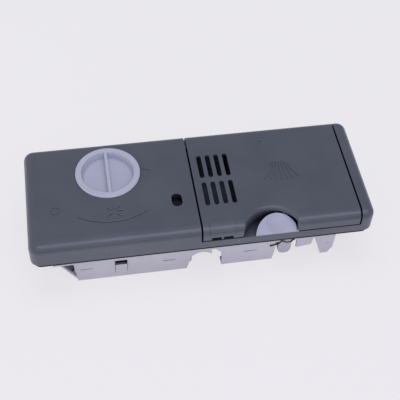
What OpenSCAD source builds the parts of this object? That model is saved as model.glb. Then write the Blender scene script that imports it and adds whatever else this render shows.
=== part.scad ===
// Dishwasher detergent and rinse-aid dispenser, lying face up on its rear frame.
// The origin is the middle of the footprint on the resting plane.
// X runs along the fascia, Y from the latch edge to the hinge edge, Z upwards.

/* [Fascia] */
// Length of the fascia
fascia_l = 242.3; // [236:0.1:260]
// Depth of the fascia from the latch edge to the hinge edge
fascia_d = 91.45; // [89:0.05:96]
// Height of the fascia's side walls
rim_h = 19.3; // [18.5:0.1:20.5]
// Gap between the rear frame and the fascia's rim, where the door's sheet is clamped
rim_gap = 7.2; // [6:0.1:9]
// Rounding of the top edges and of the upright corners
edge_r = 7; // [6:0.5:8]
// Wall thickness of the fascia moulding
skin_t = 2.2; // [1.8:0.1:2.4]

/* [Lid] */
// Length of the lid along the fascia
lid_w = 112; // [109:0.1:114]
// Wall thickness of the lid
lid_t = 2.2; // [1.8:0.1:2.4]
// Thickness of the lid's two end walls
lid_end_t = 1.8; // [1.4:0.1:2.2]
// Height of the lid's wall on the latch edge
lid_drop = 11.4; // [11:0.1:12]
// Gap between the lid's latch edge and the fascia's lip
front_gap = 1.15; // [0.9:0.05:1.5]
// Gap between the lid's ends and the fascia
seam = 1.3; // [1:0.1:1.6]
// Gap at the hinge shoulders, where the lid is wider
hinge_seam = 0.35; // [0.25:0.05:0.5]
// Width of the fascia's end rail beside the lid
rail_w = 9.9; // [9:0.1:11]

/* [Hinge] */
// Diameter of the hinge pin
pin_d = 3; // [2.5:0.1:3.5]
// Radial running clearance of every pin in its bore
pin_fit = 0.05; // [0.02:0.01:0.1]
// Width of the lid's end knuckles
knuckle_w = 5; // [4:0.5:6]
// Width of each hinge ear on the fascia
ear_w = 4; // [3:0.5:5]
// Gap between an ear and its neighbour
ear_gap = 0.6; // [0.4:0.1:1]
// Radial gap round the lid's knuckles
trough_gap = 0.35; // [0.3:0.05:0.5]

/* [Prewash slots] */
// Width of one slot
slot_w = 3.5; // [3:0.1:4]
// Length of one slot
slot_l = 21.1; // [18:0.1:22]
// Distance between neighbouring columns
slot_pitch = 6.37; // [6:0.01:6.6]
// Number of columns
slot_cols = 4; // [3:1:4]
// Distance of the first column from the lid's end
slot_edge = 6.7; // [6.4:0.1:7.4]
// Distance between the middles of the two rows
row_pitch = 25.4; // [24:0.1:26]
// Distance of the rows' middle from the fascia's middle line
row_y = -0.5; // [-1:0.1:1]

/* [Finger scoop] */
// Radius of the scoop's wall
scoop_r = 20.6; // [20:0.1:21.5]
// Radius of the rolled lip
scoop_lip = 2.8; // [2:0.1:3]
// Distance of the scoop's middle from the lid's end
scoop_x = 48.3; // [47:0.1:50]
// How far the scoop's middle lies outside the latch edge
scoop_out = 6; // [5.5:0.1:6.5]
// Thickness of the skirt wall round the scoop
skirt_t = 1.8; // [1.4:0.1:2.2]

/* [Latch] */
// Radius of the half-round push button
button_r = 15.9; // [15.2:0.1:16.4]
// Wall thickness of the button
button_t = 2; // [1.6:0.1:2.2]
// Offset of the button's middle from the scoop's middle
button_shift = 4.5; // [4:0.1:5]
// How far the button's middle lies outside the latch edge
button_out = 3.6; // [3:0.1:4]
// Thickness of the flange that runs under the lid's front wall
flange_h = 0.85; // [0.6:0.05:0.9]
// Depth of the button's highest edge below the flat top
button_drop = 4.2; // [4:0.1:5]
// Depth of the finger dish in the button
dish_depth = 1.1; // [0.6:0.1:1.4]
// Radius of the finger dish in the button
dish_ball = 24; // [18:1:30]
// Sideways travel of the button
latch_travel = 4; // [3.5:0.5:5]
// Offset of the stem from the button's middle
stem_shift = 8.8; // [8:0.1:9.4]
// Width of the stem
stem_w = 9.6; // [9:0.1:10]
// Thickness of the stem
stem_t = 2.4; // [2:0.1:2.6]
// Distance of the stem from the latch edge
stem_in = 5.95; // [5.9:0.05:6.2]
// Height of the nose's lowest point above the resting plane
nose_z = 3.2; // [2:0.1:4]
// Clearance round the stem in its slot
stem_fit = 0.4; // [0.3:0.05:0.5]
// Wire diameter of the latch spring
latch_wire = 0.9; // [0.8:0.1:1]

/* [Rinse-aid cap] */
// Radius of the cap's flange
cap_r = 23.2; // [22:0.1:23.6]
// Height of the flange above the flat top
cap_rise = 1.2; // [0.8:0.1:1.6]
// Thickness of the flange
flange_t = 2; // [1.8:0.1:2.4]
// Width of the flat ring round the dish
cap_ring = 4.2; // [4:0.1:4.6]
// Depth of the dish below the cap's rim
dish_d = 6.4; // [5.5:0.1:6.6]
// Radius of the dish's floor
dish_r = 16; // [15:0.1:16.2]
// Rounding between the dish's floor and its wall
dish_fillet = 1.9; // [1:0.1:2]
// Width of the grip bar across the dish
grip_w = 2; // [1.6:0.1:3]
// Distance of the cap's middle from the fascia's plain end
cap_x = 59.2; // [56:0.1:62]
// Distance of the cap's middle from the hinge edge
cap_in = 30.4; // [30.2:0.1:32]
// Clearance between the flange and its seat in the fascia
cap_fit = 0.4; // [0.3:0.1:0.6]

/* [Filler neck] */
// Radius of the filler bore
neck_r = 18; // [17.8:0.1:18.4]
// Depth of the neck below the flat top
neck_h = 12.5; // [12.4:0.1:13]
// Clearance of the cap in the bore
neck_fit = 0.4; // [0.3:0.05:0.5]
// How far each bayonet lug stands out
lug_out = 1.6; // [1.2:0.1:1.6]
// Height of each bayonet lug
lug_h = 2; // [1.6:0.1:2]
// Number of bayonet lugs
lug_n = 3; // [2:1:3]
// Angle that each lug spans
lug_a = 22; // [16:1:24]
// Angle from the locked to the open place
turn_a = 90; // [90:1:90]
// Radius of the dosage dial
dial_r = 9; // [8:0.1:11]
// Thickness of the dosage dial
dial_t = 2; // [1.8:0.1:2.4]
// Diameter of the dial's stem
dial_stem_d = 6; // [5:0.1:7]

/* [Level window] */
// Width of the window
lens_w = 7.4; // [6.5:0.1:8]
// Length of the window
lens_l = 11.4; // [10.5:0.1:12.5]
// Distance of the window from the lid's seam
lens_x = 13; // [12:0.1:16]
// Distance of the window from the fascia's middle line
lens_y = -15.9; // [-17:0.1:-13]
// Depth of the lens below the flat top
lens_in = 4; // [3:0.1:5]
// Length of the lens
lens_h = 9; // [7:0.5:12]

/* [Tank] */
// Distance of the tank from the fascia's plain end
tank_in = 17.6; // [17.4:0.1:20]
// Distance of the tank from the lid's seam
tank_gap = 6.8; // [6.5:0.1:8]
// Distance of the tank's sides from the fascia's edges
tank_side_gap = 8.7; // [8.3:0.1:10]
// Distance of the tank's lower edge below the pump's boss
tank_edge = 1.7; // [1.5:0.1:2]
// Height of the tank's sloping end
slope_h = 8.9; // [7:0.1:12]
// Run of the sloping end wall
slope_run = 8; // [6:0.1:12]
// Wall thickness of the tank
tank_t = 2; // [1.6:0.1:2.4]
// Thickness of the rear cover's plate
cover_t = 2; // [1.6:0.1:2.4]
// Height of the cover's collar round the tank
collar_h = 4; // [3:0.5:5]
// Wall thickness of the collar
collar_t = 1.6; // [1.2:0.1:1.8]
// Clearance between the collar and the tank
collar_fit = 0.15; // [0.1:0.05:0.3]

/* [Detergent cup] */
// Length of the main wash cup
cup_l = 73; // [68:0.5:73]
// Distance of the cup from the lid's end
cup_x = 32.4; // [32:0.1:34]
// Distance of the cup's latch-side wall from the latch edge
cup_in = 25.1; // [25:0.1:28]
// Depth of the cup from rim to floor
cup_depth = 23.7; // [20:0.1:24]
// Plan radius of the cup's corners
cup_r = 6; // [4:0.5:8]
// Wall thickness of the cups
cup_t = 2; // [1.6:0.1:2.2]
// Height of the lid's seal
seal_h = 3; // [2.6:0.1:3.2]
// Gap between the seal and the cup's rim
seal_gap = 0.1; // [0.05:0.05:0.2]
// Depth of the prewash basin from rim to floor
basin_depth = 12; // [10:0.1:12.4]
// Distance of the basin from the lid's end
basin_x = 4.2; // [4:0.1:4.6]
// Distance of the basin's front wall from the slots
basin_edge = 2.8; // [2:0.1:4]

/* [Door seal] */
// Width of the seal's channel
seal_w = 3.4; // [3.2:0.1:3.6]
// Depth of the seal's channel
channel_h = 4; // [3:0.1:4.2]
// Thickness of the channel's inner rib
rib_t = 1.4; // [1.2:0.1:1.6]
// How far the seal stands below the fascia's rim
seal_out = 4.6; // [3:0.1:5]
// Clearance of the seal in its channel
seal_fit = 0.15; // [0.1:0.05:0.2]

/* [Rear frame] */
// Height of the frame above the resting plane
frame_h = 21.5; // [20.5:0.1:23]
// Thickness of the frame's plates
plate_t = 1.8; // [1.4:0.1:1.8]
// Distance of the plates from the fascia's edges
plate_in = 4.15; // [4:0.05:4.3]
// Length of the tray plate under the plain panel
tray_l = 77.5; // [74:0.5:78]
// Distance of the tray plate from the plain end
tray_x = 30.9; // [30:0.1:32]
// Length of the plate beside the latch
side_l = 37.5; // [34:0.5:38]
// Distance of that plate from the lid's seam
side_x = 16.4; // [15.5:0.1:17]
// Radius of the arch between the plates
arch_r = 9; // [8:0.1:9.5]
// Height of the arch's middle
arch_z = 8.8; // [7:0.1:9.5]
// Thickness of the frame's bridges and top strips
bridge_t = 1.6; // [1.2:0.1:2]
// Width of the foot flange at the bottom of the plates
foot_w = 6; // [4:0.5:6.5]
// Distance of the frame's end from the plain end
frame_in = 14.6; // [14:0.1:16]
// Width of the snap tab
tab_w = 8.2; // [6:0.1:10]
// Distance of the snap tab from the tray plate's end
tab_x = 26.8; // [20:0.1:40]
// How far the snap tab stands out of the plate
tab_out = 1.1; // [0.8:0.1:1.4]
// Height of the window above the snap tab
tab_hole = 2.4; // [2:0.1:3]
// Width of the slits beside the snap tab
slit_w = 0.3; // [0.3:0.1:1]

/* [Release mechanism] */
// Distance from the lever's pivot to the latch pin
lever_arm = 29; // [28:0.5:30]
// Thickness of the release lever
lever_t = 3; // [2.5:0.1:3.2]
// Distance of the lever below the cup
lever_drop = 6; // [5.5:0.1:6.5]
// Distance from the pivot to the dosing rod's boss
rod_arm = 20; // [19:0.5:21]
// Distance from the lever's pivot to the actuator's piston
push_arm = 11; // [10:0.5:12]
// Radius of the lever's hub
hub_r = 5; // [4.5:0.1:5.5]
// Diameter of the latch pin in the lever's fork
latch_pin_d = 4; // [3.6:0.1:4.2]
// Clearance in the fork and in the rod's eye
fork_fit = 0.3; // [0.25:0.05:0.4]
// Diameter of the dosing rod
rod_d = 4; // [3.6:0.1:4]
// Inner diameter of the dosing pump
pump_d = 10; // [9:0.1:10]
// Wall thickness of the dosing pump
pump_t = 1.6; // [1.4:0.1:1.8]
// Length of the actuator's case
case_l = 36; // [34:0.5:38]
// Width of the actuator's case
case_w = 16; // [15:0.5:17]
// Height of the actuator's case
case_h = 12.2; // [12:0.1:12.4]
// Wall thickness of the actuator's case
case_t = 1.2; // [1:0.1:1.4]
// Diameter of the actuator's piston
piston_d = 4; // [3.6:0.1:4.4]
// Length of the wax capsule
capsule_l = 16; // [14:0.5:18]
// Thickness of the heater disc
heater_t = 2.4; // [1.8:0.1:3]
// Length of each terminal blade outside the case
blade_l = 8; // [6:0.5:9]
// Width of each terminal blade
blade_w = 6.3; // [6.3:0.1:6.3]
// Thickness of each terminal blade
blade_t = 0.8; // [0.8:0.1:0.8]
// Distance between the middles of the blades
blade_pitch = 8; // [7:0.5:9]

/* [Hidden] */
$fn = 64;
eps = 0.01;
far = 300;

// Planes and edges of the fascia
half_l = fascia_l / 2;
front_y = -fascia_d / 2;
back_y = fascia_d / 2;
rim_z = frame_h + rim_gap;
top_z = rim_z + rim_h;
in_r = edge_r - skin_t;

// The bay that the lid lies in
lid_x1 = half_l - rail_w - seam;
lid_x0 = lid_x1 - lid_w;
bay_x0 = lid_x0 - seam;
bay_x1 = lid_x1 + seam;
deck_z = top_z - lid_drop - front_gap;
deck_under = deck_z - skin_t;

// The hinge axis is the middle of the rounding on the hinge edge
axis_y = back_y - edge_r;
axis_z = top_z - edge_r;
pin_r = pin_d / 2;
trough_r = edge_r + trough_gap;
ear_r = edge_r - lid_t - 0.5;
ear_web = 1.6;
back_lip = 4;
lid_tail = back_lip - 0.4;
shoulder = seam - hinge_seam;

// The two cups under the lid
lid_under = top_z - lid_t;
cup_rim = lid_under - seal_h - seal_gap;
cup_x0 = lid_x0 + cup_x;
cup_x1 = cup_x0 + cup_l;
cup_y0 = front_y + cup_in;
cup_y1 = axis_y - trough_r - skin_t;
cup_z = cup_rim - cup_depth;
cup_under = cup_z - cup_t;
basin_x0 = lid_x0 + basin_x;
basin_x1 = cup_x0 - cup_t - 1.8;
basin_y0 = row_y - (row_pitch + slot_l) / 2 - basin_edge;
basin_y1 = cup_y1;
basin_z = cup_rim - basin_depth;
basin_t = 1.8;

// The scoop, the button and its stem
scoop_cx = lid_x0 + scoop_x;
scoop_cy = front_y - scoop_out;
button_cx = scoop_cx + button_shift;
button_cy = front_y - button_out;
button_z = top_z - button_drop;
button_y0 = front_y + 0.1;
latch_x = button_cx + stem_shift;
stem_y0 = front_y + stem_in;
stem_y1 = stem_y0 + stem_t;
nose_r = stem_w / 2;
wing_w = 4.4;
wing_h = 1.7;
latch_pin_y = stem_y1 + 2.6;
latch_pin_r = latch_pin_d / 2;

// The lever turns in a flat plane under the cup
pivot_x = latch_x;
pivot_y = latch_pin_y + lever_arm;
lever_top = cup_under - lever_drop;
lever_z = lever_top - lever_t;
rod_y = pivot_y - rod_arm;
push_y = pivot_y - push_arm;
fork_w = latch_pin_d + 2 * fork_fit;
prong_t = 2.6;
arm_w = 6;
push_x = pivot_x + arm_w / 2;
rod_z = lever_top + 2.3;
rod_r = rod_d / 2;
gland_r = rod_r + 3.6;

// The cap, its bore and the dial inside it
cap_cx = -half_l + cap_x;
cap_cy = back_y - cap_in;
seat_z = top_z + cap_rise - flange_t;
seat_r = cap_r + cap_fit;
dish_top_r = cap_r - cap_ring;
dish_z = top_z + cap_rise - dish_d;
plug_r = neck_r - neck_fit;
lug_r = plug_r + lug_out;
groove_r = lug_r + 0.3;
neck_out_r = groove_r + 1.8;
cone_h = 4.8;
cone_r = plug_r + 2.6;
lug_z = top_z - 7.8;
neck_z = top_z - neck_h;
plug_z = neck_z + 2.4;
bridge_top = neck_z + 1.2;
dial_z = bridge_top + 0.6;
dial_seal_r = dial_stem_d / 2 - 0.58;

// The tank under the plain panel
tank_x0 = -half_l + tank_in;
tank_x1 = bay_x0 - tank_gap;
tank_y = fascia_d / 2 - tank_side_gap;
tank_z = rod_z - gland_r - tank_edge;
slope_z = tank_z + slope_h;
cover_z = tank_z - cover_t;

// The level window
lens_cx = bay_x0 - lens_x;

// The rear frame
plate_y = fascia_d / 2 - plate_in;
tray_x0 = -half_l + tray_x;
tray_x1 = tray_x0 + tray_l;
side_x0 = bay_x0 + side_x;
side_x1 = side_x0 + side_l;
arch_x = (tray_x1 + side_x0) / 2 - 1.6;
tray_r = 2.6;
frame_x0 = -half_l + frame_in;
frame_x1 = latch_x + 36.6;
end_bar = 2.6;
tab_x0 = tray_x0 + tab_x;
tab_z0 = 4.8;
tab_z1 = frame_h - 4.9;
spring_z = frame_h - 4.7;
inner_y = plate_y - plate_t - 0.1;
skirt_z = frame_h - 4;

// The actuator
case_x0 = push_x + 6.5;
case_x1 = case_x0 + case_l;
case_z0 = cup_under - case_h - 0.6;
case_z1 = case_z0 + case_h;
push_z = case_z0 + case_h / 2;
piston_r = piston_d / 2;
capsule_r = case_h / 2 - case_t;
capsule_x = case_x0 + 6;
heater_x = capsule_x + capsule_l;
blade_x = heater_x + heater_t + 1;
screw_xs = [case_x0 + 5, case_x1 - 5];
screw_y = push_y + case_w / 2 + 4;
screw_r = 1.5;
lug_top = case_z0 + 6;

// Extrudes a drawing in Y and Z along the fascia
module along_x(x0, x1) translate([x0, 0, 0]) rotate([90, 0, 90]) linear_extrude(x1 - x0) children();

// Extrudes a drawing in X and Z across the fascia
module along_y(y0, y1) translate([0, y1, 0]) rotate([90, 0, 0]) linear_extrude(y1 - y0) children();

// Extrudes a drawing in X and Y upwards
module up_z(z0, z1) translate([0, 0, z0]) linear_extrude(z1 - z0) children();

module box(lo, hi) translate(lo) cube(hi - lo);

// A cylinder along X from x0 to x1
module rod_x(x0, x1, y, z, r) translate([x0, y, z]) rotate([0, 90, 0]) cylinder(r = r, h = x1 - x0);

// A cylinder along Z from z0 to z1
module rod_up(x, y, z0, z1, r) translate([x, y, z0]) cylinder(r = r, h = z1 - z0);

module quarter(r) intersection() {
  circle(r = r);
  square(r);
}

// A rectangle with both upper corners rounded
module round_top(a0, a1, z0, z1, r) {
  translate([a0, z0]) square([a1 - a0, z1 - z0 - r]);
  translate([a0 + r, z0]) square([a1 - a0 - 2 * r, z1 - z0]);
  for (a = [a0 + r, a1 - r]) translate([a, z1 - r]) circle(r = r);
}

// A rectangle with four rounded corners
module round_rect(x0, x1, y0, y1, r) {
  translate([x0 + r, y0]) square([x1 - x0 - 2 * r, y1 - y0]);
  translate([x0, y0 + r]) square([x1 - x0, y1 - y0 - 2 * r]);
  for (x = [x0 + r, x1 - r]) for (y = [y0 + r, y1 - r]) translate([x, y]) circle(r = r);
}

// A rectangle with its corners cut at 45 degrees
module cut_rect(x0, x1, y0, y1, c) polygon([
  [x0 + c, y0], [x1 - c, y0], [x1, y0 + c], [x1, y1 - c],
  [x1 - c, y1], [x0 + c, y1], [x0, y1 - c], [x0, y0 + c]
]);

// A slot with round ends, w wide and l long along Y
module slot_2d(w, l) {
  square([w, l - w], center = true);
  for (s = [-1, 1]) translate([0, s * (l - w) / 2]) circle(d = w);
}

// A sector of a ring, from angle a0 over da degrees
module sector(r0, r1, z0, z1, a0, da) rotate([0, 0, a0]) rotate_extrude(angle = da)
  translate([r0, z0]) square([r1 - r0, z1 - z0]);

// A straight round wire between two points
module wire(a, b, r) {
  d = b - a;
  l = norm(d);
  translate(a) rotate([0, acos(d[2] / l), atan2(d[1], d[0])]) cylinder(r = r, h = l, $fn = 12);
}

// A helix of round wire along X, drawn as one closed tube
function ring_at(a, rm, rw, x0, pitch, n) = [
  for (k = [0 : n - 1]) let (b = 360 * k / n, r = rm + rw * cos(b))
    [x0 + pitch * a / 360 + rw * sin(b), r * cos(a), r * sin(a)]
];

module helix_x(rm, rw, turns, pitch, x0, a0, sides = 8, steps = 12) {
  count = turns * steps;
  rings = [for (i = [0 : count]) each ring_at(a0 + 360 * i / steps, rm, rw, x0 - pitch * a0 / 360, pitch,
    sides)];
  walls = [
    for (i = [0 : count - 1]) for (k = [0 : sides - 1]) let (k2 = (k + 1) % sides)
      [i * sides + k, i * sides + k2, (i + 1) * sides + k2, (i + 1) * sides + k]
  ];
  first = [for (k = [sides - 1 : -1 : 0]) k];
  last = [for (k = [0 : sides - 1]) count * sides + k];
  polyhedron(points = rings, faces = concat([first], walls, [last]));
}

// The fascia's outer block, with rounded top edges and upright corners
module outer_block() {
  r = edge_r;
  along_x(-half_l + r, half_l - r) round_top(front_y, back_y, rim_z, top_z, r);
  for (mx = [0, 1]) mirror([mx, 0, 0]) along_y(front_y + r, back_y - r) translate([half_l - r, 0]) {
    translate([0, rim_z]) square([r, rim_h - r]);
    translate([0, top_z - r]) quarter(r);
  }
  for (mx = [0, 1]) for (my = [0, 1]) mirror([mx, 0, 0]) mirror([0, my, 0])
    translate([half_l - r, back_y - r, 0]) rotate_extrude(angle = 90) {
      translate([0, rim_z]) square([r, rim_h - r]);
      translate([0, top_z - r]) quarter(r);
    }
}

// The recess that the lid lies in, open at the latch edge and along the hinge
module lid_bay() along_x(bay_x0, bay_x1) {
  translate([front_y - 1, deck_z]) square([axis_y - front_y + 1, far]);
  translate([axis_y, axis_z - back_lip]) square([far, far]);
  translate([axis_y, axis_z]) circle(r = trough_r);
}

// The hollow under the plain panel and the shallower one under the lid's deck
module hollows() {
  x_in = half_l - skin_t;
  y_in = back_y - skin_t;
  intersection() {
    along_x(-x_in, bay_x0 - skin_t) polygon([
      [-y_in, rim_z - 1], [y_in, rim_z - 1], [y_in, top_z - edge_r],
      [y_in - in_r, top_z - skin_t], [in_r - y_in, top_z - skin_t], [-y_in, top_z - edge_r]
    ]);
    along_y(front_y, back_y) polygon([
      [-x_in, rim_z - 1], [0, rim_z - 1], [0, top_z], [skin_t - x_in, top_z],
      [in_r - x_in, top_z - skin_t], [-x_in, top_z - edge_r]
    ]);
    up_z(rim_z - 1, top_z) cut_rect(-x_in, x_in, -y_in, y_in, in_r);
  }
  up_z(rim_z - 1, deck_under) intersection() {
    cut_rect(-x_in, x_in, -y_in, y_in, in_r);
    translate([bay_x0 - skin_t - eps, -far]) square([far, 2 * far]);
  }
  along_y(in_r - y_in, y_in - in_r) polygon([
    [bay_x1 + skin_t, deck_under - eps], [x_in, deck_under - eps], [x_in, top_z - edge_r],
    [x_in - 1.4, top_z - edge_r + 2.8], [bay_x1 + skin_t, top_z - edge_r + 2.8]
  ]);
}

// The ring-shaped channel that holds the door seal
module channel_walls() up_z(rim_z, rim_z + channel_h + rib_t) difference() {
  round_ring(skin_t / 2);
  round_ring(skin_t + seal_w + rib_t);
}

module channel_cut() up_z(rim_z - 1, rim_z + channel_h) difference() {
  round_ring(skin_t);
  round_ring(skin_t + seal_w);
}

// The fascia's outline, moved inwards
module round_ring(inset)
  round_rect(inset - half_l, half_l - inset, front_y + inset, back_y - inset, max(edge_r - inset, 1));

// The tank's side view, with its sloping end; w moves it inwards
module tank_side(w) polygon([
  [tank_x0 + w, top_z - skin_t / 2], [tank_x0 + w, slope_z + w / 3],
  [tank_x0 + slope_run + w, tank_z - w * 0.1], [tank_x1 - w, tank_z - w * 0.1],
    [tank_x1 - w, top_z - skin_t / 2]
]);

module tank_walls() difference() {
  along_y(-tank_y, tank_y) tank_side(0);
  along_y(tank_t - tank_y, tank_y - tank_t) tank_side(tank_t);
}

// The barrel of the dosing pump inside the tank, with the gland's boss outside
module pump_barrel() {
  rod_x(tank_x1 - 17, tank_x1, rod_y, rod_z, pump_d / 2 + pump_t);
  rod_x(tank_x1 - eps, tank_x1 + 5, rod_y, rod_z, gland_r);
}

module pump_bore() {
  rod_x(tank_x1 - 18, tank_x1 - tank_t, rod_y, rod_z, pump_d / 2);
  rod_x(tank_x1 - tank_t - eps, tank_x1 + 6, rod_y, rod_z, rod_r + pin_fit);
  rod_x(tank_x1 + 2, tank_x1 + 6, rod_y, rod_z, rod_r + 2.2);
}

// The two cups below the lid: the deep main wash cup and the shallow prewash basin
module cups() {
  up_z(cup_under, cup_rim) round_rect(cup_x0 - cup_t, cup_x1 + cup_t, cup_y0 - cup_t, cup_y1 + cup_t,
    cup_r + cup_t);
  up_z(basin_z - basin_t, cup_rim) round_rect(basin_x0 - basin_t, cup_x0, basin_y0 - basin_t,
    basin_y1 + basin_t, 3);
}

module cup_hollows() {
  up_z(cup_z, cup_rim + 1) round_rect(cup_x0, cup_x1, cup_y0, cup_y1, cup_r);
  up_z(basin_z, cup_rim + 1) round_rect(basin_x0, basin_x1, basin_y0, basin_y1, 1.5);
}

ear_xs = [
  lid_x0 + knuckle_w + ear_gap,
  (lid_x0 + lid_x1) / 2 - ear_w / 2,
  lid_x1 - knuckle_w - ear_gap - ear_w
];

// The wall behind the cups, and the ears that stand on it and carry the hinge pin
module hinge_wall() {
  box([ear_xs[0], cup_y1, deck_under], [ear_xs[2] + ear_w, cup_y1 + skin_t, cup_rim]);
  for (x = ear_xs) along_x(x, x + ear_w) {
    translate([axis_y, axis_z]) circle(r = ear_r);
    translate([cup_y1, axis_z - ear_web]) square([axis_y - cup_y1, cup_rim - axis_z + ear_web]);
  }
}

// The wall of the trough behind the hinge axis
module trough_wall() along_x(bay_x0 - skin_t, bay_x1 + skin_t) intersection() {
  translate([axis_y, axis_z]) circle(r = trough_r + skin_t);
  translate([axis_y - far, axis_z - far]) square([far + edge_r - 0.5, far]);
}

module neck() {
  rod_up(cap_cx, cap_cy, neck_z, top_z - skin_t / 2, neck_out_r);
  rod_up(cap_cx, cap_cy, neck_z - 3, neck_z + eps, dial_stem_d / 2 + 1.8);
}

// The stepped bore of the neck, with the bayonet's groove and entries
module neck_bore() translate([cap_cx, cap_cy, 0]) {
  rod_up(0, 0, seat_z, top_z + 1, seat_r);
  translate([0, 0, seat_z - cone_h]) cylinder(r1 = neck_r, r2 = cone_r + neck_fit, h = cone_h + eps);
  rod_up(0, 0, bridge_top, seat_z, neck_r);
  rod_up(0, 0, lug_z - 0.3, lug_z + lug_h + 0.3, groove_r);
  for (k = [0 : lug_n - 1])
    sector(neck_r - 1, groove_r + 0.2, lug_z, seat_z + eps, 360 / lug_n * k + turn_a - lug_a / 2 - 2,
      lug_a + 4);
  rod_up(0, 0, neck_z - 4, neck_z + 2, dial_stem_d / 2 + pin_fit);
  for (s = [-1, 1]) rotate([0, 0, 90 + 90 * s]) sector(dial_stem_d / 2 + 4, neck_r - 2.5, neck_z - 1,
    neck_z + 2, -60, 120);
}

module lens_sleeve() translate([lens_cx, lens_y, 0])
  up_z(top_z - lens_in - lens_h, top_z - skin_t / 2) slot_2d(lens_w + 3, lens_l + 3);

module lens_hole() translate([lens_cx, lens_y, 0])
  up_z(top_z - lens_in - lens_h - 1, top_z + 1) slot_2d(lens_w, lens_l);

// Bosses under the cup for the lever's pin and the actuator's screws
module bosses() {
  rod_up(pivot_x, pivot_y, lever_top + 3.2, cup_z - eps, 3.6);
  for (i = [0, 1]) rod_up(screw_xs[i], screw_y, lug_top, cup_z - eps, 3.4);
}

module boss_bores() {
  rod_up(pivot_x, pivot_y, lever_top, cup_under, pin_r);
  for (i = [0, 1]) rod_up(screw_xs[i], screw_y, lug_top - 1, cup_under - 0.6, screw_r);
}

// The slot in the deck for the button's stem, and the gap in the channel's rib below it
module stem_slot() {
  box([latch_x - nose_r - latch_travel - stem_fit, stem_y0 - stem_fit, rim_z - 1],
      [latch_x + nose_r + stem_fit, stem_y1 + stem_fit, deck_z + 1]);
  box([latch_x - nose_r - wing_w - latch_travel - stem_fit, stem_y0 - stem_fit, rim_z - 1],
      [latch_x + nose_r + wing_w + stem_fit, stem_y1 + stem_fit + 1, deck_under]);
}

// Ribs between the tank and the rear frame's plates, which hold the frame
module frame_ribs() for (m = [0, 1]) mirror([0, m, 0]) for (x = [tray_x0 + 12, tray_x1 - 22, tray_x1 - 4])
  box([x, tank_y - eps, tank_z + collar_h + 1], [x + 2, plate_y - plate_t, rim_z + 1]);

// The wall inside the rear frame, open where the button's stem runs
module inner_skirt() {
  reach = nose_r + wing_w + 1.5;
  for (x = [[bay_x0, latch_x - reach - latch_travel], [latch_x + reach, frame_x1 - 4.5]])
    box([x[0], 0.4 - inner_y, skirt_z], [x[1], 1.8 - inner_y, deck_under + eps]);
}

// The rinse-aid outlet: a raised port on the deck, fed by the pump
module outlet() {
  box([lid_x0 + 6.4, front_y + skin_t + 0.8, deck_z - eps],
    [lid_x0 + 22.6, front_y + skin_t + 4.8, deck_z + 0.8]);
}

module front_housing() color([0.31, 0.33, 0.37]) difference() {
  union() {
    difference() {
      outer_block();
      lid_bay();
      hollows();
    }
    tank_walls();
    pump_barrel();
    difference() {
      union() {
        channel_walls();
        trough_wall();
        cups();
      }
      lid_bay_trough();
    }
    hinge_wall();
    neck();
    lens_sleeve();
    bosses();
    frame_ribs();
    inner_skirt();
    outlet();
  }
  channel_cut();
  cup_hollows();
  neck_bore();
  lens_hole();
  pump_bore();
  boss_bores();
  stem_slot();
  rod_x(lid_x0 - 1, lid_x1 + 1, axis_y, axis_z, pin_r);
}

module lid_bay_trough() along_x(bay_x0, bay_x1) {
  translate([axis_y, axis_z]) circle(r = trough_r);
  translate([axis_y, axis_z - back_lip]) square([far, far]);
}

// The lid's cross-section: flat top, rounded latch edge, and a curl round the hinge axis
module lid_section(inset) {
  r = edge_r - inset;
  difference() {
    union() {
      translate([front_y + inset, top_z - lid_drop - 1])
        square([axis_y - front_y - inset, lid_drop + 1 - edge_r]);
      translate([front_y + edge_r, top_z - lid_drop - 1])
        square([axis_y - front_y - edge_r, lid_drop + 1 - inset]);
      translate([front_y + edge_r, top_z - edge_r]) circle(r = r);
      translate([axis_y, axis_z]) circle(r = r);
    }
    translate([front_y - 1, top_z - lid_drop - far]) square([far, far]);
    translate([axis_y, axis_z - lid_tail - far]) square([far, far]);
  }
}

module lid_shell() {
  along_x(lid_x0, lid_x1) difference() {
    lid_section(0);
    lid_section(lid_t);
    translate([axis_y - edge_r, axis_z - far]) square([edge_r + 0.5, far]);
    translate([front_y + skin_t, top_z - lid_drop - 1]) square([axis_y - front_y - skin_t, 2]);
  }
  for (x = [lid_x0, lid_x1 - lid_end_t]) along_x(x, x + lid_end_t) difference() {
    lid_section(0);
    translate([axis_y, axis_z - far]) square([far, far]);
    translate([cup_y1 - 0.3, top_z - lid_drop - 1]) square([far, lid_drop - edge_r + 1]);
  }
}

module lid_knuckles() {
  for (m = [0, 1]) translate([m * (lid_x0 + lid_x1), 0, 0]) mirror([m, 0, 0]) {
    rod_x(lid_x0, lid_x0 + knuckle_w, axis_y, axis_z, edge_r);
    rod_x(lid_x0 - shoulder, lid_x0 + eps, axis_y, axis_z, edge_r - 1.6);
  }
  along_x(ear_xs[1] + ear_w + ear_gap, ear_xs[1] + ear_w + ear_gap + 3) {
    translate([axis_y, axis_z]) circle(r = ear_r);
    translate([axis_y - 2.5, axis_z]) square([5, edge_r - lid_t / 2]);
  }
}

// Two columns of prewash slots in two rows
module prewash_slots() for (i = [0 : slot_cols - 1]) for (s = [-1, 1])
  translate([lid_x0 + slot_edge + i * slot_pitch, row_y + s * row_pitch / 2, 0])
    up_z(lid_under - 1, top_z + 1) slot_2d(slot_w, slot_l);

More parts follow.
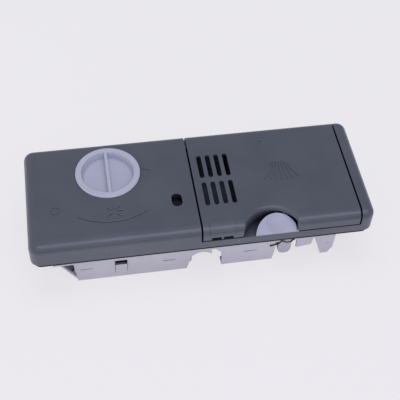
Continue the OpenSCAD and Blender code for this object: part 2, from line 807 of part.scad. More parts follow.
// The round scoop for the finger, with a rolled lip at the top
module scoop_cut() translate([scoop_cx, scoop_cy, 0]) {
  rod_up(0, 0, deck_z, top_z + 1, scoop_r);
  rotate_extrude() difference() {
    translate([scoop_r - 1, top_z - scoop_lip]) square([scoop_lip + 1, scoop_lip + 1]);
    translate([scoop_r + scoop_lip, top_z - scoop_lip]) circle(r = scoop_lip);
  }
  flare_x = sqrt(pow(scoop_r, 2) - pow(scoop_out + scoop_lip, 2)) + scoop_lip;
  flare = [for (a = [8 : 12.5 : 83]) [flare_x - scoop_lip * cos(a), scoop_out + scoop_lip * (1 - sin(a))]];
  last = len(flare) - 1;
  for (m = [0, 1]) mirror([m, 0, 0]) up_z(deck_z, top_z + 1) polygon(concat(
    [[flare[0][0] - 1, scoop_out - 1], [flare[0][0] - 1, flare[0][1]]], flare,
      [[flare[last][0], scoop_out - 1]]
  ));
}

skirt_x = scoop_cx + 6.2;
hook_x = skirt_x + latch_travel + 6.6;
module scoop_skirt() difference() {
  translate([scoop_cx, scoop_cy, 0]) rod_up(0, 0, top_z - lid_drop, lid_under + eps, scoop_r + skirt_t);
  box([-far, -far, 0], [far, front_y + lid_t, far]);
  box([skirt_x, -far, 0], [far, far, button_z + 0.5]);
}

// The raised pad over the rinse-aid outlet, with the notch below it
pad_x0 = lid_x0 + 4.9;
pad_x1 = lid_x0 + 22.4;
pad_rise = 0.5;
module outlet_pad() along_x(pad_x0, pad_x1) intersection() {
  difference() {
    union() {
      translate([front_y + edge_r, top_z - edge_r]) circle(r = edge_r + pad_rise);
      translate([front_y - pad_rise, top_z - lid_drop + 3.2]) square([3, lid_drop - edge_r - 3.2]);
    }
    translate([front_y + edge_r, top_z - edge_r]) circle(r = edge_r - 1);
  }
  translate([front_y - 1, top_z - lid_drop + 3.2]) square([edge_r + 1, lid_drop]);
}

module outlet_notch() for (x = [pad_x0 + 1.2, (pad_x0 + pad_x1) / 2 + 0.8])
  box([x, front_y - 1, top_z - lid_drop - 1], [x + (pad_x1 - pad_x0) / 2 - 2, front_y + lid_t + 1,
    top_z - lid_drop + 3]);

// The hook on the lid, whose foot lies under the button's catch
hook_y = scoop_cy + scoop_r + skirt_t + 0.2;
hook_z = deck_z + 0.9;
foot_h = 1.2;
module hook() {
  box([hook_x + 0.4, hook_y - 1.2, hook_z], [hook_x + 3.4, hook_y + 2.8, lid_under + eps]);
  box([hook_x - 2.2, hook_y + 0.2, hook_z], [hook_x + 0.4 + eps, hook_y + 2.8, hook_z + foot_h]);
}

module lid() color([0.31, 0.33, 0.37]) difference() {
  union() {
    lid_shell();
    lid_knuckles();
    scoop_skirt();
    outlet_pad();
    hook();
  }
  prewash_slots();
  scoop_cut();
  outlet_notch();
  rod_x(lid_x0 - 2, lid_x1 + 2, axis_y, axis_z, pin_r + pin_fit);
}

module lid_seal() color([0.62, 0.63, 0.66]) up_z(cup_rim + seal_gap, lid_under) difference() {
  round_rect(cup_x0 - cup_t - 0.4, cup_x1 + cup_t + 0.4, cup_y0 - cup_t - 0.4, cup_y1 + 1.4, cup_r + cup_t);
  round_rect(cup_x0 + 0.4, cup_x1 - 0.4, cup_y0 + 0.4, cup_y1 - 1, cup_r);
}

module hinge_pin() color([0.75, 0.76, 0.78]) rod_x(lid_x0 + 1, lid_x1 - 1, axis_y, axis_z, pin_r);

spring_turns = 5.25;
spring_pitch = 1.3;
spring_wire = 1;
module lid_spring() color([0.7, 0.71, 0.73]) {
  rm = pin_r + spring_wire / 2 + 0.7;
  x0 = ear_xs[1] - ear_gap - spring_turns * spring_pitch - spring_wire;
  x1 = x0 + spring_turns * spring_pitch;
  r = spring_wire / 2;
  translate([0, axis_y, axis_z]) helix_x(rm, r, spring_turns, spring_pitch, x0, 0);
  wire([x0, axis_y + rm, axis_z + eps], [x0, axis_y + rm, axis_z - 6.2], r);
  wire([x1, axis_y + eps, axis_z + rm], [x1, axis_y - edge_r, lid_under - r - 0.05], r);
}

module tank_cover() color([0.86, 0.87, 0.89]) {
  x_left = tank_x0 + slope_run;
  x_right = tank_x1 + collar_fit;
  y = tank_y + collar_fit;
  up_z(cover_z, tank_z) round_rect(x_left, x_right + collar_t, -y - collar_t, y + collar_t, 1.5);
  difference() {
    up_z(tank_z - eps, tank_z + collar_h) difference() {
      translate([x_left + 3, -y - collar_t]) square([x_right + collar_t - x_left - 3, 2 * (y + collar_t)]);
      translate([x_left, -y]) square([x_right - x_left, 2 * y]);
    }
    rod_x(tank_x1, far, rod_y, rod_z, gland_r + collar_fit);
  }
}

module door_gasket() color([0.1, 0.1, 0.12]) up_z(rim_z - seal_out, rim_z + channel_h) difference() {
  round_ring(skin_t + seal_fit);
  round_ring(skin_t + seal_w - seal_fit);
}

module level_lens() color([0.6, 0.65, 0.7, 0.6]) translate([lens_cx, lens_y, 0])
  up_z(top_z - lens_in - lens_h, top_z - lens_in) slot_2d(lens_w, lens_l);

// One long side of the rear frame, drawn in X and Z
module rail_side(latch_side) {
  h = frame_h;
  translate([frame_x0, h - bridge_t]) square([frame_x1 - frame_x0, bridge_t]);
  difference() {
    translate([tray_x0, 0]) square([tray_l, h]);
    for (x = [tray_x0 + 2, tray_x1 - 16.8]) translate([x, h - 9.3]) square([8.8, 0.9]);
    translate([tab_x0, tab_z1]) square([tab_w, tab_hole]);
    for (x = [tab_x0 - slit_w, tab_x0 + tab_w - eps]) translate([x, tab_z0])
      square([slit_w + eps, tab_z1 + tab_hole - tab_z0]);
  }
  difference() {
    translate([tray_x1 - eps, 0]) square([side_x0 - tray_x1 - 7.5, h]);
    translate([arch_x, arch_z]) circle(r = arch_r);
    polygon([[tray_x1 + 0.2, -1], [arch_x - arch_r, arch_z], [far, arch_z], [far, -1]]);
  }
  difference() {
    polygon([
      [side_x0 - 5.6, h], [side_x0 - 5.6, h - 1], [side_x0, h - 7], [side_x0, 0],
      [side_x1, 0], [side_x1 + 1.7, h - 7.5], [side_x1 + 1.7, h]
    ]);
    translate([side_x0 + 15.8, h - 8.9]) square([9.6, 0.9]);
    translate([side_x1 - 2.4, spring_z]) circle(d = latch_wire + 0.4);
  }
  if (latch_side) polygon([
    [latch_x + 8, h], [latch_x + 8, h - 10.5], [latch_x + 19.2, h - 8.7], [latch_x + 20.2, h]
  ]);
  translate([latch_x, 0]) polygon([
    [21.6, h], [22.4, h - 5.5], [27.6, 0], [32.6, 0], [36, 6.5], [36.6, h]
  ]);
  polygon([
    [tray_x0 + 0.8, 0], [tray_x0 + 2.2, 0], [tray_x0 - 10, h - bridge_t + eps],
    [tray_x0 - 11.4, h - bridge_t + eps]
  ]);
}

module rail(latch_side) {
  difference() {
    union() {
      along_y(-plate_y, plate_t - plate_y) rail_side(latch_side);
      along_x(tab_x0, tab_x0 + tab_w) polygon([
        [0.5 - plate_y, tab_z0 + 0.5], [-plate_y, tab_z0 + 0.5], [-plate_y - tab_out, tab_z1 - 1.8],
        [-plate_y - tab_out, tab_z1 - 1], [0.5 - plate_y, tab_z1]
      ]);
    }
    along_x(tab_x0 - slit_w, tab_x0 + tab_w + slit_w) polygon([
      [-plate_y - tab_out - 1, tab_z1 + eps], [-plate_y - tab_out, tab_z1 - 1],
        [plate_t - plate_y + eps, tab_z1 - 4.4],
      [plate_t - plate_y + eps, tab_z1 + eps]
    ]);
  }
  intersection() {
    translate([tray_x0, tray_r - plate_y, 0]) sector(tray_r - plate_t, tray_r, 0, frame_h, 180, 90);
    along_y(-plate_y - 1, 0) polygon([
      [tray_x0 + eps, -1], [tray_x0 - 0.1, -1], [tray_x0 - tray_r - 0.4, frame_h + 1],
        [tray_x0 + eps, frame_h + 1]
    ]);
  }
  for (x = [[tray_x0 + 1.6, tray_x1], [side_x0, side_x1]])
    box([x[0], -plate_y + eps, 0], [x[1], foot_w - plate_y, bridge_t]);
  box([frame_x1 - 4, -plate_y, frame_h - bridge_t], [frame_x1, -inner_y + plate_t, frame_h]);
  box([frame_x1 - eps, -inner_y, frame_h - bridge_t], [half_l - 9, -inner_y + plate_t, frame_h]);
}

module clamp_frame() color([0.86, 0.87, 0.89]) {
  difference() {
    union() {
      rail(true);
      mirror([0, 1, 0]) rail(false);
      for (x = [[frame_x0, frame_x0 + end_bar], [tank_x1 + 3, tank_x1 + 5]])
        box([x[0], -plate_y + eps, frame_h - bridge_t], [x[1], plate_y - eps, frame_h]);
      box([half_l - 9 - end_bar, -inner_y + eps, frame_h - bridge_t], [half_l - 9, inner_y - eps, frame_h]);
    }
    box([latch_x - nose_r - latch_travel - 0.4, stem_y0 - 0.4, nose_z - 1],
        [latch_x + nose_r + 3.4, stem_y1 + 8, frame_h + 1]);
  }
}

module rinse_cap() color([0.84, 0.85, 0.9]) translate([cap_cx, cap_cy, 0]) {
  rim = top_z + cap_rise;
  difference() {
    union() {
      rotate_extrude() polygon([
        [0, dish_z - 1.6], [dish_r, dish_z - 1.6], [dish_r, plug_z], [plug_r, plug_z],
          [plug_r, seat_z - cone_h],
        [cone_r, seat_z], [cap_r, seat_z], [cap_r, rim - 0.6], [cap_r - 0.6, rim], [dish_top_r, rim],
        for (a = [90 : -15 : 0]) [dish_r + dish_fillet * sin(a), dish_z + dish_fillet * (1 - cos(a))],
        [0, dish_z]
      ]);
      for (k = [0 : lug_n - 1]) sector(plug_r - 0.5, lug_r, lug_z, lug_z + lug_h,
        360 / lug_n * k - lug_a / 2, lug_a);
      intersection() {
        box([-grip_w / 2, -dish_top_r - 1, dish_z - eps], [grip_w / 2, dish_top_r + 1, rim - 0.5]);
        translate([0, 0, dish_z - 1]) cylinder(r1 = dish_r + 1.2, r2 = dish_top_r + 0.6, h = dish_d + 1);
      }
    }
    difference() {
      rod_up(0, 0, plug_z + 0.5, plug_z + 2.3, plug_r + 1);
      rod_up(0, 0, plug_z + 0.4, plug_z + 2.4, plug_r - 1.4);
    }
  }
}

module cap_seal() color([0.15, 0.15, 0.17]) translate([cap_cx, cap_cy, plug_z + 1.4]) rotate_extrude()
  translate([plug_r - 0.52, 0]) circle(r = 0.84, $fn = 12);

module dosage_dial() color([0.84, 0.85, 0.9]) translate([cap_cx, cap_cy, 0]) {
  rod_up(0, 0, dial_z, dial_z + dial_t, dial_r);
  difference() {
    rod_up(0, 0, neck_z - 4.5, dial_z + eps, dial_stem_d / 2);
    rotate_extrude() translate([dial_seal_r, neck_z - 1.4]) circle(r = 0.62, $fn = 12);
  }
  box([-1, -dial_r + 1, dial_z + dial_t - eps], [1, dial_r - 3, dial_z + dial_t + 0.6]);
}

module dial_seal() color([0.15, 0.15, 0.17]) translate([cap_cx, cap_cy, neck_z - 1.4]) rotate_extrude()
  translate([dial_seal_r, 0]) circle(r = 0.58, $fn = 12);

// The button's side view: a slope from the latch edge up to the back edge. Under the lid's front wall the slope
// starts further in, and only a thin flange is left at the front.
ramp_z = deck_z + pin_fit + flange_h;
edge_y = button_cy + button_r;
ramp_a = atan2(button_z - ramp_z, edge_y - button_y0);
flange_x = scoop_cx + sqrt(pow(scoop_r, 2) - pow(scoop_out + scoop_lip, 2)) - 0.5;
module button_side(flange) polygon(concat(
  [[button_y0, deck_z + pin_fit], [edge_y + 1, deck_z + pin_fit]],
  [[edge_y + 1, button_z + (button_z - ramp_z) / (edge_y - button_y0 - flange)],
    [button_y0 + flange, ramp_z]],
  flange > 0 ? [[button_y0, ramp_z]] : []
));

// The finger dish, sunk at right angles to the slope
module finger_dish() translate([button_cx, (button_y0 + edge_y) / 2, (ramp_z + button_z) / 2])
  rotate([ramp_a, 0, 0])
  translate([0, 0, dish_ball - dish_depth]) sphere(r = dish_ball, $fn = 96);

// The push button: a hollow half disc, its stem, the catch and the nose below
module latch_button() color([0.86, 0.87, 0.92]) {
  r_in = button_r - button_t;
  roof = button_t + dish_depth;
  catch_z = hook_z + foot_h + 0.3;
  catch_y = button_cy + sqrt(pow(r_in, 2) - pow(hook_x - 2.6 - button_cx, 2)) + 0.6;
  difference() {
    intersection() {
      rod_up(button_cx, button_cy, deck_z, button_z + 1, button_r);
      union() {
        along_x(-far, flange_x) button_side(0);
        along_x(flange_x - eps, far) button_side(lid_t + 0.3);
      }
    }
    intersection() {
      rod_up(button_cx, button_cy, deck_z - 1, button_z, r_in);
      along_x(-far, far) translate([0, -roof / cos(ramp_a)]) button_side(lid_t + 0.3);
      box([-far, stem_y1, 0], [far, far, far]);
    }
    finger_dish();
  }
  box([latch_x - nose_r, stem_y0, nose_z + nose_r], [latch_x + nose_r, stem_y1, deck_z + 1.4]);
  along_y(stem_y0, stem_y1) translate([latch_x, nose_z + nose_r]) circle(r = nose_r);
  box([latch_x - nose_r - wing_w, stem_y0, deck_under - 0.1 - wing_h],
      [latch_x + nose_r + wing_w, stem_y1, deck_under - 0.1]);
  box([latch_x - 3, stem_y1 - eps, lever_top + 0.6],
    [latch_x + 3, latch_pin_y + latch_pin_r + 0.6, lever_top + 2.8]);
  rod_up(latch_x, latch_pin_y, lever_z - 0.8, lever_top + 0.6 + eps, latch_pin_r);
  box([hook_x - 5.8, catch_y, catch_z], [hook_x - 2.6, hook_y + 2.6, catch_z + foot_h]);
  box([hook_x - 3, hook_y + 0.6, catch_z], [hook_x + 0.1, hook_y + 2.6, catch_z + foot_h]);
}

// The wire spring is held in a hole of the frame and presses the nose back
module latch_spring() color([0.45, 0.36, 0.28]) {
  y = -plate_y - 0.6;
  xr = latch_x + nose_r + latch_wire / 2 + 0.1;
  pts = [
    [side_x1 - 2.4, y + 3.4, spring_z], [side_x1 - 2.4, y, spring_z], [side_x1 + 3.4, y, spring_z + 1.8],
    [latch_x - 3.4, y, spring_z + 4.6],
    [latch_x, y, spring_z + 2.5], [latch_x + 3, y, spring_z + 2.5], [xr, y, frame_h + 0.7],
    [xr, stem_y0 + 1.2, frame_h + 0.7], [xr, stem_y0 + 1.2, spring_z - 2.4]
  ];
  for (i = [0 : len(pts) - 2]) wire(pts[i], pts[i + 1], latch_wire / 2);
  for (i = [1 : len(pts) - 2]) translate(pts[i]) sphere(r = latch_wire / 2, $fn = 12);
}

module release_lever() color([0.86, 0.87, 0.89]) difference() {
  union() {
    rod_up(pivot_x, pivot_y, lever_z - 1.6, lever_top + 2.9, hub_r);
    box([pivot_x - arm_w / 2, latch_pin_y + latch_pin_r + 2, lever_z],
      [pivot_x + arm_w / 2, pivot_y, lever_top]);
    box([pivot_x - fork_w / 2 - prong_t, latch_pin_y - 1.8, lever_z],
        [pivot_x + fork_w / 2 + prong_t, latch_pin_y + latch_pin_r + 4, lever_top]);
    rod_up(pivot_x, rod_y, lever_top - eps, rod_z + rod_r * 0.9, 1.8);
  }
  box([pivot_x - fork_w / 2, -far, lever_z - 1], [pivot_x + fork_w / 2, latch_pin_y + latch_pin_r + 0.8,
    lever_top + 1]);
  rod_up(pivot_x, pivot_y, 0, far, pin_r + pin_fit);
}

module lever_pin() color([0.75, 0.76, 0.78]) {
  rod_up(pivot_x, pivot_y, lever_z - 3.6, cup_under, pin_r);
}

module pivot_clip() color([0.4, 0.41, 0.43]) up_z(lever_z - 2.7, lever_z - 1.9)
  translate([pivot_x, pivot_y]) difference() {
  circle(r = 3.6);
  circle(r = pin_r);
  translate([0, -0.9]) square([5, 1.8]);
}

piston_x = tank_x1 - 8;
module dosing_rod() color([0.86, 0.87, 0.89]) {
  difference() {
    union() {
      rod_x(piston_x, pivot_x - 6, rod_y, rod_z, rod_r);
      rod_x(piston_x - 3, piston_x + 1, rod_y, rod_z, pump_d / 2 - pin_fit);
      box([pivot_x - 7, rod_y - 4.6, rod_z - 1.4], [pivot_x + 4.6, rod_y + 4.6, rod_z + 1.4]);
    }
    box([pivot_x - 1.8 - fork_fit, rod_y - 2.4, 0], [pivot_x + 1.8 + fork_fit, rod_y + 2.6, far]);
    difference() {
      rod_x(piston_x - 1.8, piston_x - 0.2, rod_y, rod_z, pump_d);
      rod_x(piston_x - 2, piston_x, rod_y, rod_z, pump_d / 2 - 1.1);
    }
  }
}

module piston_ring() color([0.15, 0.15, 0.17]) translate([piston_x - 1, rod_y, rod_z]) rotate([0, 90, 0])
  rotate_extrude() translate([pump_d / 2 - 0.58, 0]) circle(r = 0.52, $fn = 12);

module gland_seal() color([0.15, 0.15, 0.17]) difference() {
  rod_x(tank_x1 + 2, tank_x1 + 4.8, rod_y, rod_z, rod_r + 2.2);
  rod_x(tank_x1 + 1, tank_x1 + 6, rod_y, rod_z, rod_r + pin_fit);
}

module case_section(inset) round_rect(case_x0 + inset, case_x1 - inset, push_y - case_w / 2 + inset,
  push_y + case_w / 2 - inset, 2);

module actuator_case() color([0.16, 0.16, 0.18]) difference() {
  union() {
    up_z(case_z0 + case_t, case_z1) case_section(0);
    rod_x(case_x0 - 4, case_x0 + eps, push_y, push_z, piston_r + 2);
    for (i = [0, 1]) up_z(lug_top - 2, lug_top) translate([screw_xs[i], screw_y]) {
      circle(r = 3.6);
      translate([-3.6, -5]) square([7.2, 5]);
    }
  }
  up_z(case_z0, case_z1 - case_t) case_section(case_t);
  rod_x(case_x0 - 5, case_x0 + 2, push_y, push_z, piston_r + pin_fit);
  for (i = [0, 1]) rod_up(screw_xs[i], screw_y, 0, far, screw_r + 0.2);
  for (s = [-1, 1]) translate([0, push_y + s * blade_pitch / 2, push_z])
    box([case_x1 - 2, -blade_t / 2, -blade_w / 2], [case_x1 + 1, blade_t / 2, blade_w / 2]);
}

module actuator_cover() color([0.2, 0.2, 0.22]) up_z(case_z0, case_z0 + case_t) case_section(0);

module wax_capsule() color([0.8, 0.65, 0.35]) {
  rod_x(capsule_x, heater_x, push_y, push_z, capsule_r);
  rod_x(case_x0 + case_t, capsule_x, push_y, push_z, piston_r + 1.4);
}

module heater_disc() color([0.5, 0.5, 0.52]) rod_x(heater_x, heater_x + heater_t, push_y, push_z,
  capsule_r - 0.1);

module actuator_terminals() color([0.8, 0.8, 0.78]) for (s = [-1, 1]) difference() {
  y = push_y + s * blade_pitch / 2;
  box([blade_x, y - blade_t / 2, push_z - blade_w / 2],
    [case_x1 + blade_l, y + blade_t / 2, push_z + blade_w / 2]);
  translate([case_x1 + blade_l - 3, push_y, push_z]) rotate([90, 0, 0])
    cylinder(r = 0.8, h = 20, center = true);
}

module actuator_screws() color([0.7, 0.71, 0.72]) for (i = [0, 1]) translate([screw_xs[i], screw_y, 0])
  difference() {
  union() {
    rod_up(0, 0, lug_top - 3.9, lug_top - 2, 2.9);
    rod_up(0, 0, lug_top - 2 - eps, lug_top + 5, screw_r);
  }
  for (a = [0, 90]) rotate([0, 0, a]) box([-1.8, -0.4, 0], [1.8, 0.4, lug_top - 2.9]);
}

module actuator_piston() color([0.75, 0.76, 0.78])
  rod_x(push_x + 0.2, case_x0 + case_t - 0.2, push_y, push_z, piston_r);

front_housing();
tank_cover();
clamp_frame();
door_gasket();
level_lens();
hinge_pin();
lid_spring();
lever_pin();
pivot_clip();
gland_seal();
actuator_case();
actuator_cover();
wax_capsule();
heater_disc();
actuator_terminals();
actuator_screws();
latch_spring();
lid();
lid_seal();
rinse_cap();
cap_seal();
dosage_dial();
dial_seal();
latch_button();
release_lever();
dosing_rod();
piston_ring();
actuator_piston();
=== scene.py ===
# %% [markdown]
# # A dishwasher's detergent and rinse-aid dispenser
# This notebook dresses a jointed model of the dispenser that sits in a dishwasher's inner door.
# The exact solids come in as a fixed frame, in metres. Each one keeps its place and its shape,
# and the cells below give it the finish of the real moulding, add the small relief that is
# easier to make here, and light the whole like a product photograph.

# %% The frame
import bpy, bmesh, math
from mathutils import Matrix, Vector


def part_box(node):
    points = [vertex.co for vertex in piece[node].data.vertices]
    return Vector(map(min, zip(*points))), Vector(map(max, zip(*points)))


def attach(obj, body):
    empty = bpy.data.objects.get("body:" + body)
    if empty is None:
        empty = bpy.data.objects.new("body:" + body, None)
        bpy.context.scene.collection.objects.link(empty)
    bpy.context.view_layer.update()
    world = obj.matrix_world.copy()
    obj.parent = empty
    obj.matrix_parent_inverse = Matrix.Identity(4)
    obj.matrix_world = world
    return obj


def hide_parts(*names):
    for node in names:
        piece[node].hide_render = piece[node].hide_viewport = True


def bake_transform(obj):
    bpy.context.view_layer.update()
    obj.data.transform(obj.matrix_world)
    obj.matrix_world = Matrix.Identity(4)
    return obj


MM = 0.001

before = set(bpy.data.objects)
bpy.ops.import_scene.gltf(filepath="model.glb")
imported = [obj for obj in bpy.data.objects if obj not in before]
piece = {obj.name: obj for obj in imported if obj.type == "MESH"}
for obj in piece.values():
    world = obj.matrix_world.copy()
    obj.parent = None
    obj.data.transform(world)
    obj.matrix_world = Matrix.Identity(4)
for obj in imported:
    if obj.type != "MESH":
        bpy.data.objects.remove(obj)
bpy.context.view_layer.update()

# %% [markdown]
# ## The camera
# The photograph looks down on the dispenser from the latch side, turned a little to the right.
# A long lens keeps the long fascia's edges nearly parallel. The place and the direction were
# solved from the fascia's corners, so they are given as numbers and not found by trial.

# %% Camera
half_pixel_shift = -0.00125
nearest_seen, farthest_seen = 0.05, 20

def aim_camera(name, place, right, down, forward, lens):
    data = bpy.data.cameras.new(name)
    camera = bpy.data.objects.new(name, data)
    bpy.context.scene.collection.objects.link(camera)
    turn = Matrix((right, [-v for v in down], [-v for v in forward])).transposed()
    camera.matrix_world = Matrix.Translation(place) @ turn.to_4x4()
    data.lens = lens
    data.shift_y = half_pixel_shift
    data.clip_start, data.clip_end = nearest_seen, farthest_seen
    return camera

camera = aim_camera("studio_camera", place=(-0.07734, -0.40042, 0.53014),
                    right=(0.9868, -0.15884, 0.03164), down=(-0.10393, -0.7709, -0.62842),
                    forward=(0.12421, 0.61683, -0.77723), lens=79.6)
bpy.context.scene.camera = camera
print("camera at", [round(v, 3) for v in camera.location])

# %% [markdown]
# ## Node helpers
# Every finish below is a small tree of shader nodes. These helpers make a material, add a node
# to it and join two sockets, so that each finish reads as a short list of what it is made of.
# The nodes could also be written out each time, but that hides the few numbers that matter.
# Object coordinates are used throughout: they stay fixed to the piece when it moves.

# %% Material helpers
def new_finish(name, color, rough):
    m = bpy.data.materials.new(name)
    m.use_nodes = True
    shader = shader_of(m)
    shader.inputs["Base Color"].default_value = (*color, 1)
    shader.inputs["Roughness"].default_value = rough
    place = m.node_tree.nodes.new("ShaderNodeTexCoord")
    place.name = "place"
    return m

def add(m, kind, **values):
    n = m.node_tree.nodes.new("ShaderNode" + kind)
    for key, value in values.items():
        if hasattr(n, key):
            setattr(n, key, value)
        else:
            n.inputs[key.replace("_", " ")].default_value = value
    return n

def join(m, a, b):
    m.node_tree.links.new(a, b)

def shader_of(m):
    return m.node_tree.nodes["Principled BSDF"]

loaded_finishes = len(bpy.data.materials)
print("helpers for a finish: new_finish, add, join. Loaded with the frame:", loaded_finishes)

# %% [markdown]
# ### Colour, gloss and grain
# A noise texture gives an uneven value from place to place. `ramp` turns it into a colour between
# two shades, `span` into a number between two limits, such as a roughness, and `bump` into a fine
# relief. A painted picture could do the same, but it would have to be fitted to each piece.
# Colours are written as they look on a screen, from 0 to 255, and `linear` turns them into the
# values that the shader adds up.

# %% Colour and grain helpers
noise_low, noise_high = 0.3, 0.7  # nearly all of a noise lies between these

def noise(m, scale, detail=3, rough=0.5):
    n = add(m, "TexNoise", Scale=scale, Detail=detail, Roughness=rough)
    join(m, m.node_tree.nodes["place"].outputs["Object"], n.inputs["Vector"])
    return n.outputs["Fac"]

def linear(r, g, b):
    """A colour as a screen shows it, 0 to 255, turned into the shader's own values"""
    one = lambda v: v / 12.92 if v <= 0.04045 else ((v + 0.055) / 1.055) ** 2.4
    return tuple(one(v / 255) for v in (r, g, b))

def ramp(m, value, low, high):
    n = add(m, "ValToRGB")
    ends = n.color_ramp.elements
    ends[0].position, ends[0].color = noise_low, (*low, 1)
    ends[1].position, ends[1].color = noise_high, (*high, 1)
    join(m, value, n.inputs["Fac"])
    return n.outputs["Color"]

def span(m, value, low, high, a=noise_low, b=noise_high):
    n = add(m, "MapRange")
    n.inputs["From Min"].default_value, n.inputs["From Max"].default_value = a, b
    n.inputs["To Min"].default_value, n.inputs["To Max"].default_value = low, high
    join(m, value, n.inputs["Value"])
    return n.outputs["Result"]

def bump(m, height, depth, strength):
    n = add(m, "Bump")
    n.inputs["Distance"].default_value = depth
    n.inputs["Strength"].default_value = strength
    join(m, height, n.inputs["Height"])
    return n.outputs["Normal"]

print("slate on screen 80, 84, 90 is", [round(v, 3) for v in linear(80, 84, 90)], "in the shader")

# %% [markdown]
# ### Masks
# A mask is 1 on the part of a piece that gets another colour and 0 elsewhere. It is worked out from
# the piece's own coordinates, so it moves with the piece. Some faces could get a material of their
# own instead, but the solids' faces stay as they come.

# %% Mask helpers
def between(m, axis, low, high):
    """1 where the piece's own coordinate lies between low and high, in millimetres"""
    apart = add(m, "SeparateXYZ")
    join(m, m.node_tree.nodes["place"].outputs["Object"], apart.inputs["Vector"])
    n = add(m, "Math", operation="COMPARE")
    n.inputs[1].default_value = (low + high) / 2 * MM
    n.inputs[2].default_value = (high - low) / 2 * MM
    join(m, apart.outputs[axis], n.inputs[0])
    return n.outputs["Value"]

def times(m, *values):
    """The product of masks is the place that all of them share"""
    product = values[0]
    for value in values[1:]:
        n = add(m, "Math", operation="MULTIPLY")
        join(m, product, n.inputs[0])
        join(m, value, n.inputs[1])
        product = n.outputs["Value"]
    return product

mix_share, mix_first, mix_second, mix_result = 0, 6, 7, 2  # the Mix node's sockets for colours

def mix_into_base(m, blend_type="MIX"):
    """Put a colour mix between the base colour and what fed it so far"""
    base = shader_of(m).inputs["Base Color"]
    before = base.links[0].from_socket
    n = add(m, "Mix", data_type="RGBA", blend_type=blend_type)
    join(m, before, n.inputs[mix_first])
    join(m, n.outputs[mix_result], base)
    return n

def recolor(m, mask, color):
    """Lay another colour over the base colour where the mask is 1"""
    n = mix_into_base(m)
    join(m, mask, n.inputs[mix_share])
    n.inputs[mix_second].default_value = (*color, 1)

print("helpers for a mask: between, times, recolor")

# %% [markdown]
# ### Hollows
# A recess such as the finger scoop looks almost black on the real moulding, because its walls
# mirror only each other. A light setup alone makes it too pale, so an ambient occlusion node
# darkens the plastic where the surroundings close in. It could also be painted by height, but a
# render works this out for each pose, so the cups turn paler when the lid opens. Only a baked
# model keeps the shade of the closed lid.

# %% Shading in hollows
closed_in, wide_open = 0.3, 0.85

def shade_hollows(m, reach, darkest):
    """Darken the base colour where other surfaces stand within that reach, in metres"""
    closed = add(m, "AmbientOcclusion", samples=6)
    closed.inputs["Distance"].default_value = reach
    level = span(m, closed.outputs["AO"], darkest, 1, closed_in, wide_open)
    grey = add(m, "CombineColor")
    for channel in ("Red", "Green", "Blue"):
        join(m, level, grey.inputs[channel])
    n = mix_into_base(m, "MULTIPLY")
    n.inputs[mix_share].default_value = 1
    join(m, grey.outputs["Color"], n.inputs[mix_second])

print("full shade below", closed_in, "open, none above", wide_open)

# %% [markdown]
# ## The slate-grey moulding
# The fascia and the lid are moulded in one dark slate-grey plastic with a fine spark-eroded
# grain. The grain breaks the highlight on the rounded edges into a soft sheen. Two noises make
# it: a fine one for the grain and a broad one for the slight clouding of a used surface.
#
# The same `moulded` recipe gives the white rear frame, the pale blue cap and button, the acetal
# lever and the soft black seals: only colour, gloss and grain differ.

# %% Moulded plastics
cloud_scale, gloss_scale = 28, 60
hard_grain, fine_grain, machined_grain = 2600, 1800, 1500
deep, shallow = 0.00002, 0.00001

def moulded(name, dark, light, rough, grain, depth, spec=0.5):
    """Plastic clouded between two shades, with so many grains to the metre and that deep in metres"""
    m = new_finish(name, dark, rough)
    s = shader_of(m)
    s.inputs["Specular IOR Level"].default_value = spec
    join(m, ramp(m, noise(m, cloud_scale, 4), dark, light), s.inputs["Base Color"])
    join(m, span(m, noise(m, gloss_scale, 3), rough - 0.04, rough + 0.05), s.inputs["Roughness"])
    join(m, bump(m, noise(m, grain, 2, 0.6), depth, 0.6), s.inputs["Normal"])
    return m

slate_low, slate_high = linear(80, 84, 90), linear(88, 92, 98)
slate = moulded("slate_moulding", slate_low, slate_high, 0.32, hard_grain, deep, 0.6)
slate_body = moulded("slate_body", slate_low, slate_high, 0.32, hard_grain, deep, 0.6)
# A paler slate for the fan of jets and the lid's dot: painted highlight, for the light on their crowns.
slate_painted_highlight = moulded("jet_and_dot_painted_highlight", linear(98, 102, 112), linear(104, 108, 118),
                     0.4, hard_grain, deep)
slate_mark = moulded("slate_mark", linear(93, 97, 103), linear(99, 103, 109),
                     0.36, hard_grain, deep, 0.6)
slate_gate_spot_pale = moulded("slate_gate_spot_pale", linear(118, 121, 128), linear(128, 131, 138),
                      0.5, hard_grain, deep, 0.4)
# The pin mark's grey on the white frame is painted shade round its small ring.
pin_mark_painted_shade = moulded("white_frame_pin_painted_shade", linear(158, 155, 160), linear(168, 165, 171), 0.5, fine_grain, shallow)
rear_white = moulded("rear_white", linear(186, 183, 185), linear(196, 194, 198), 0.45, fine_grain, shallow)
cap_blue = moulded("cap_pale_blue", linear(184, 185, 197), linear(191, 192, 204), 0.38, fine_grain, shallow)
button_blue = moulded("button_pale_blue", linear(164, 166, 178), linear(172, 174, 186),
                      0.4, fine_grain, shallow)
acetal = moulded("natural_acetal", linear(205, 204, 198), linear(214, 213, 208),
                 0.4, machined_grain, shallow)
black_case = moulded("black_case", linear(28, 28, 31), linear(36, 36, 40), 0.35, machined_grain, shallow)
print("plastics made:", len(bpy.data.materials) - loaded_finishes)

# %% [markdown]
# ### Seals and the heater
# The black seals are soft rubber, matt and with a weak mirror. The lid's own seal is grey, and the
# heater disc in the actuator is a dark ceramic. They could have a sheen of their own, but at this
# size a high roughness says it all, so the same recipe serves with a coarser grain.

